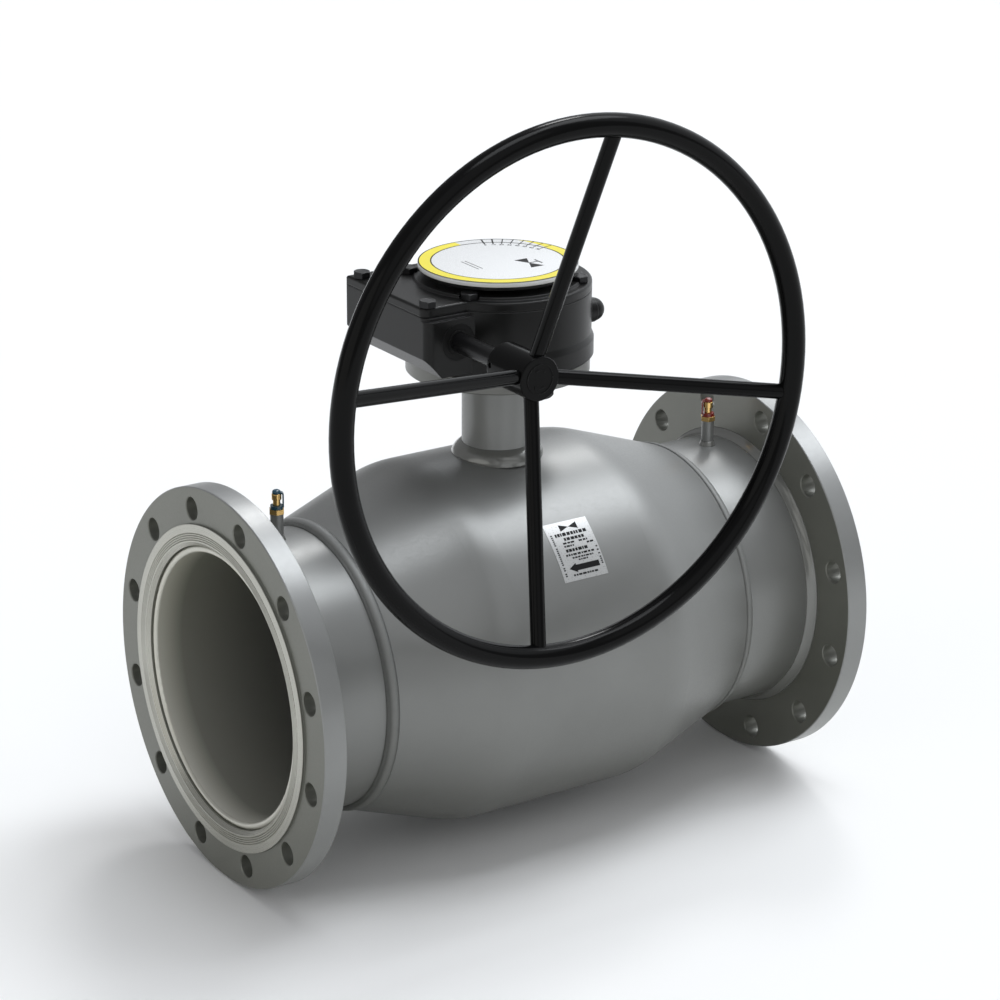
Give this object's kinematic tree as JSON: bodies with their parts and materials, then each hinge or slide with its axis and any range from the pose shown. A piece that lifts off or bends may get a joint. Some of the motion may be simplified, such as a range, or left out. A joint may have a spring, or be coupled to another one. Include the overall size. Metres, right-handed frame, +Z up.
{
  "type": "welded ball valve",
  "caption": "Welded ball valve with flanged ends, a tall neck, a worm gearbox with a position dial and a handwheel; shown open.",
  "frame": {"origin": "centre of the ball, on the axis of the bore and of the stem", "axes": "+X along the pipe from inlet to outlet, +Z up the stem, handwheel on the -Y side"},
  "size_m": [0.7774, 0.543, 0.9105],
  "materials": {
    "body_paint": "semi-gloss grey paint",
    "machined_face": "bare weld metal",
    "pale_paint": "semi-gloss pale grey paint",
    "gearbox_paint": "satin black paint on a casting",
    "wheel_paint": "glossy black paint",
    "dark_steel": "blackened steel",
    "polished_ball": "polished",
    "bare_steel": "turned",
    "iron": "as cast with cut teeth",
    "bronze": "turned",
    "brass": "turned",
    "blue_plastic": "moulded",
    "red_plastic": "moulded",
    "dial_white": "gloss",
    "seat_plastic": "matt",
    "black_rubber": "matt"
  },
  "bodies": {
    "valve_body": {"body_shell": "body_paint", "cover_bolts": "dark_steel", "cover_gasket": "black_rubber", "disc_springs": "bare_steel", "end_cap_screws": "dark_steel", "flange_back_welds": "body_paint", "flange_face_welds": "machined_face", "gearbox_cover": "gearbox_paint", "gearbox_housing": "gearbox_paint", "inlet_flange": "body_paint", "inlet_nipple": "body_paint", "inlet_nipple_weld": "body_paint", "inlet_pipe": "body_paint", "inlet_strap": "blue_plastic", "inlet_union": "brass", "mount_weld": "pale_paint", "mounting_bolts": "dark_steel", "mounting_flange": "pale_paint", "neck_tube": "body_paint", "neck_weld": "body_paint", "outlet_flange": "body_paint", "outlet_nipple": "body_paint", "outlet_nipple_weld": "body_paint", "outlet_pipe": "body_paint", "outlet_strap": "red_plastic", "outlet_union": "brass", "seat_cages": "bare_steel", "seat_rings": "seat_plastic", "shaft_seal": "black_rubber", "shell_seam_welds": "body_paint", "stem_sleeve": "bare_steel", "stop_caps": "gearbox_paint", "stop_nuts": "dark_steel", "stop_screws": "dark_steel", "support_sleeves": "bare_steel", "thrust_washer": "seat_plastic", "worm_bearings": "bronze", "worm_end_cap": "gearbox_paint"},
    "stem": {"ball": "polished_ball", "stem": "bare_steel", "stem_seals": "black_rubber", "stem_keys": "bare_steel", "worm_wheel": "iron", "dial_carrier": "gearbox_paint", "dial_disc": "dial_white"},
    "handwheel": {"handwheel_rim": "wheel_paint", "handwheel_spokes": "wheel_paint", "handwheel_hub": "wheel_paint", "hub_pin": "dark_steel", "worm_shaft": "dark_steel"},
    "inlet_cap": {"inlet_cap": "brass"},
    "outlet_cap": {"outlet_cap": "brass"}
  },
  "joints": [
    {"name": "stem_turn", "type": "hinge", "parent": "valve_body", "child": "stem", "pos_m": [0, 0, 0], "axis": [0, 0, -1], "range_deg": [0, 90]},
    {"name": "handwheel_turn", "type": "hinge", "parent": "valve_body", "child": "handwheel", "pos_m": [-0.1, 0, 0.378], "axis": [0, 1, 0], "range_deg": [0, 3780]},
    {"name": "inlet_cap_turn", "type": "hinge", "parent": "valve_body", "child": "inlet_cap", "pos_m": [-0.2937, 0, 0.21], "axis": [0, 0, 1], "range_deg": [0, 1080]},
    {"name": "outlet_cap_turn", "type": "hinge", "parent": "valve_body", "child": "outlet_cap", "pos_m": [0.3047, 0, 0.21], "axis": [0, 0, 1], "range_deg": [0, 1080]}
  ],
  "couplings": [
    {"joint": "handwheel_turn", "follows": "stem_turn", "ratio": 42}
  ]
}
